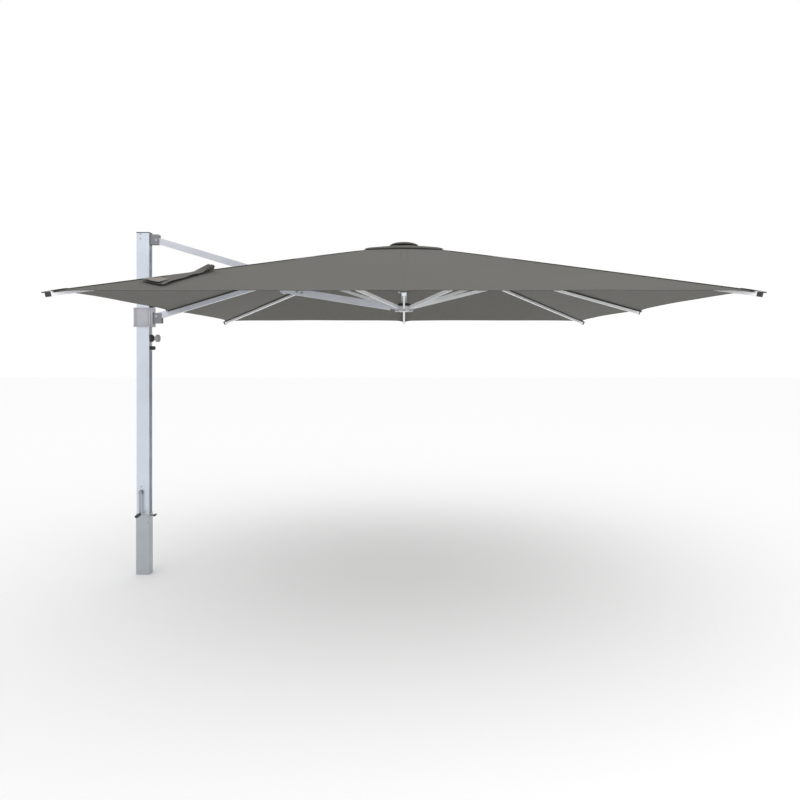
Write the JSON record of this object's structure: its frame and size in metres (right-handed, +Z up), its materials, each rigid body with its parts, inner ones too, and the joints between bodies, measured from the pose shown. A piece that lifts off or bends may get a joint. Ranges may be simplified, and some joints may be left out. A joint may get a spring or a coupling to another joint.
{
  "type": "cantilever parasol",
  "caption": "Square cantilever parasol hung from a side mast by crossed scissor arms, with crown, lower hub, struts, sliding carriage, winding crank and vented canopy.",
  "frame": {"origin": "middle of the mast's foot, on its underside", "axes": "+X from the mast towards the canopy's middle, -Y the front where the crank is, +Z up the mast"},
  "size_m": [3.7302, 3.5324, 2.49],
  "materials": {
    "mast_metal": "satin anodised extrusion, fine lines along its length",
    "sleeve_metal": "satin, a little greyer than the mast",
    "arm_metal": "satin light grey powder coat",
    "rib_metal": "satin light grey powder coat",
    "cast_grey": "satin grey casting",
    "carriage_plastic": "fine-grained grey moulding",
    "black_plastic": "fine-grained black moulding",
    "crown_plastic": "fine-grained dark taupe grey moulding",
    "knob_grey": "fine-grained mid grey moulding",
    "hub_metal": "satin silver casting",
    "steel": "satin",
    "fabric": "woven taupe grey outdoor cloth"
  },
  "bodies": {
    "mast": {"mast": "mast_metal", "mast_cap": "black_plastic", "lower_sleeve": "sleeve_metal", "foot_plug": "sleeve_metal", "mast_screws": "steel", "head_bracket": "cast_grey", "head_pin": "steel", "crank_boss": "cast_grey"},
    "thumb_screw": {"thumb_screw": "black_plastic"},
    "crank": {"crank_arm": "steel"},
    "crank_knob": {"crank_knob": "black_plastic"},
    "upper_arm": {"upper_arm_tube": "arm_metal", "elbow_cheeks": "arm_metal", "elbow_pin": "steel", "hub_bar": "arm_metal", "cheek_rivets": "steel"},
    "main_arm": {"main_arm_tube": "arm_metal"},
    "slider": {"carriage_front": "carriage_plastic", "carriage_rear": "carriage_plastic", "carriage_sides": "carriage_plastic", "carriage_screws": "steel", "slider_clevis": "cast_grey", "slider_pin": "steel", "track_shoe": "cast_grey", "upper_stop": "black_plastic", "knob_base": "black_plastic"},
    "locking_knob": {"locking_knob": "knob_grey"},
    "index_knob": {"index_knob": "black_plastic"},
    "crown": {"crown_drum": "black_plastic", "crown_pins": "steel", "centre_tube": "arm_metal", "canopy": "fabric", "vent_flap": "fabric", "crown_cap": "crown_plastic"},
    "lower_hub": {"lower_hub": "hub_metal", "hub_pins": "steel", "hub_ring": "black_plastic"},
    "rib_right": {"rib_right": "rib_metal", "rib_cap_right": "black_plastic"},
    "strut_right": {"strut_right": "rib_metal"},
    "rib_rear_right": {"rib_rear_right": "rib_metal", "rib_cap_rear_right": "black_plastic"},
    "strut_rear_right": {"strut_rear_right": "rib_metal"},
    "rib_rear": {"rib_rear": "rib_metal", "rib_cap_rear": "black_plastic"},
    "strut_rear": {"strut_rear": "rib_metal"},
    "rib_rear_left": {"rib_rear_left": "rib_metal", "rib_cap_rear_left": "black_plastic"},
    "strut_rear_left": {"strut_rear_left": "rib_metal"},
    "rib_front_left": {"rib_front_left": "rib_metal", "rib_cap_front_left": "black_plastic", "tie_strap": "fabric"},
    "strut_front_left": {"strut_front_left": "rib_metal"},
    "rib_front": {"rib_front": "rib_metal", "rib_cap_front": "black_plastic"},
    "strut_front": {"strut_front": "rib_metal"},
    "rib_front_right": {"rib_front_right": "rib_metal", "rib_cap_front_right": "black_plastic"},
    "strut_front_right": {"strut_front_right": "rib_metal"}
  },
  "joints": [
    {"name": "arm_fold", "type": "hinge", "parent": "mast", "child": "upper_arm", "pos_m": [0.095, 0, 2.432], "axis": [0, 1, 0], "range_deg": [0, 45], "deforming": ["canopy"]},
    {"name": "elbow", "type": "hinge", "parent": "upper_arm", "child": "main_arm", "pos_m": [1.02, 0, 2.155], "axis": [0, 1, 0], "range_deg": [-90, 0]},
    {"name": "slider_pivot", "type": "hinge", "parent": "main_arm", "child": "slider", "pos_m": [0.095, 0, 1.878], "axis": [0, 1, 0], "range_deg": [0, 45]},
    {"name": "crown_pivot", "type": "hinge", "parent": "main_arm", "child": "crown", "pos_m": [1.845, 0, 2.37], "axis": [0, 1, 0], "range_deg": [0, 45]},
    {"name": "hub_pivot", "type": "hinge", "parent": "upper_arm", "child": "lower_hub", "pos_m": [1.845, 0, 1.94], "axis": [0, 1, 0], "range_deg": [-45, 0]},
    {"name": "rib_fold_right", "type": "hinge", "parent": "crown", "child": "rib_right", "pos_m": [1.955, 0, 2.37], "axis": [0, 1, 0], "range_deg": [0, 45]},
    {"name": "strut_fold_right", "type": "hinge", "parent": "rib_right", "child": "strut_right", "pos_m": [2.77176, 0, 2.14196], "axis": [0, 1, 0], "range_deg": [-91.5, 0]},
    {"name": "rib_fold_rear_right", "type": "hinge", "parent": "crown", "child": "rib_rear_right", "pos_m": [1.93889, 0.03889, 2.37], "axis": [-0.7071, 0.7071, 0], "range_deg": [0, 45]},
    {"name": "strut_fold_rear_right", "type": "hinge", "parent": "rib_rear_right", "child": "strut_rear_right", "pos_m": [2.53031, 0.63031, 2.16591], "axis": [-0.7071, 0.7071, 0], "range_deg": [-88.5, 0]},
    {"name": "rib_fold_rear", "type": "hinge", "parent": "crown", "child": "rib_rear", "pos_m": [1.9, 0.055, 2.37], "axis": [-1, 0, 0], "range_deg": [0, 45]},
    {"name": "strut_fold_rear", "type": "hinge", "parent": "rib_rear", "child": "strut_rear", "pos_m": [1.9, 0.87176, 2.14196], "axis": [-1, 0, 0], "range_deg": [-91.5, 0]},
    {"name": "rib_fold_rear_left", "type": "hinge", "parent": "crown", "child": "rib_rear_left", "pos_m": [1.86111, 0.03889, 2.37], "axis": [-0.7071, -0.7071, 0], "range_deg": [0, 45]},
    {"name": "strut_fold_rear_left", "type": "hinge", "parent": "rib_rear_left", "child": "strut_rear_left", "pos_m": [1.26969, 0.63031, 2.16591], "axis": [-0.7071, -0.7071, 0], "range_deg": [-88.5, 0]},
    {"name": "rib_fold_front_left", "type": "hinge", "parent": "crown", "child": "rib_front_left", "pos_m": [1.86111, -0.03889, 2.37], "axis": [0.7071, -0.7071, 0], "range_deg": [0, 45]},
    {"name": "strut_fold_front_left", "type": "hinge", "parent": "rib_front_left", "child": "strut_front_left", "pos_m": [1.26969, -0.63031, 2.16591], "axis": [0.7071, -0.7071, 0], "range_deg": [-88.5, 0]},
    {"name": "rib_fold_front", "type": "hinge", "parent": "crown", "child": "rib_front", "pos_m": [1.9, -0.055, 2.37], "axis": [1, 0, 0], "range_deg": [0, 45]},
    {"name": "strut_fold_front", "type": "hinge", "parent": "rib_front", "child": "strut_front", "pos_m": [1.9, -0.87176, 2.14196], "axis": [1, 0, 0], "range_deg": [-91.5, 0]},
    {"name": "rib_fold_front_right", "type": "hinge", "parent": "crown", "child": "rib_front_right", "pos_m": [1.93889, -0.03889, 2.37], "axis": [0.7071, 0.7071, 0], "range_deg": [0, 45]},
    {"name": "strut_fold_front_right", "type": "hinge", "parent": "rib_front_right", "child": "strut_front_right", "pos_m": [2.53031, -0.63031, 2.16591], "axis": [0.7071, 0.7071, 0], "range_deg": [-88.5, 0]},
    {"name": "crank_spin", "type": "hinge", "parent": "mast", "child": "crank", "pos_m": [-0.01, -0.06, 0.599], "axis": [0, 1, 0], "continuous": true},
    {"name": "crank_knob_spin", "type": "hinge", "parent": "crank", "child": "crank_knob", "pos_m": [-0.01, -0.1, 0.442], "axis": [0, 1, 0], "continuous": true},
    {"name": "locking_knob_turn", "type": "hinge", "parent": "slider", "child": "locking_knob", "pos_m": [0.095, 0, 1.717], "axis": [1, 0, 0], "range_deg": [0, 360]},
    {"name": "index_knob_pull", "type": "slide", "parent": "slider", "child": "index_knob", "axis": [1, 0, 0], "range_m": [0, 0.008], "stiffness_N_per_m": 400, "springref_m": -0.004},
    {"name": "thumb_screw_turn", "type": "hinge", "parent": "mast", "child": "thumb_screw", "pos_m": [0.076, 0, 0.424], "axis": [1, 0, 0], "range_deg": [0, 360]}
  ],
  "couplings": [
    {"joint": "elbow", "follows": "arm_fold", "ratio": -2},
    {"joint": "slider_pivot", "follows": "arm_fold", "ratio": 1},
    {"joint": "crown_pivot", "follows": "arm_fold", "ratio": 1},
    {"joint": "hub_pivot", "follows": "arm_fold", "ratio": -1},
    {"joint": "rib_fold_right", "follows": "arm_fold", "ratio": 0.9959},
    {"joint": "strut_fold_right", "follows": "arm_fold", "ratio": -2.0278},
    {"joint": "rib_fold_rear_right", "follows": "arm_fold", "ratio": 0.9951},
    {"joint": "strut_fold_rear_right", "follows": "arm_fold", "ratio": -1.9614},
    {"joint": "rib_fold_rear", "follows": "arm_fold", "ratio": 0.9959},
    {"joint": "strut_fold_rear", "follows": "arm_fold", "ratio": -2.0278},
    {"joint": "rib_fold_rear_left", "follows": "arm_fold", "ratio": 0.9951},
    {"joint": "strut_fold_rear_left", "follows": "arm_fold", "ratio": -1.9614},
    {"joint": "rib_fold_front_left", "follows": "arm_fold", "ratio": 0.9951},
    {"joint": "strut_fold_front_left", "follows": "arm_fold", "ratio": -1.9614},
    {"joint": "rib_fold_front", "follows": "arm_fold", "ratio": 0.9959},
    {"joint": "strut_fold_front", "follows": "arm_fold", "ratio": -2.0278},
    {"joint": "rib_fold_front_right", "follows": "arm_fold", "ratio": 0.9951},
    {"joint": "strut_fold_front_right", "follows": "arm_fold", "ratio": -1.9614}
  ]
}
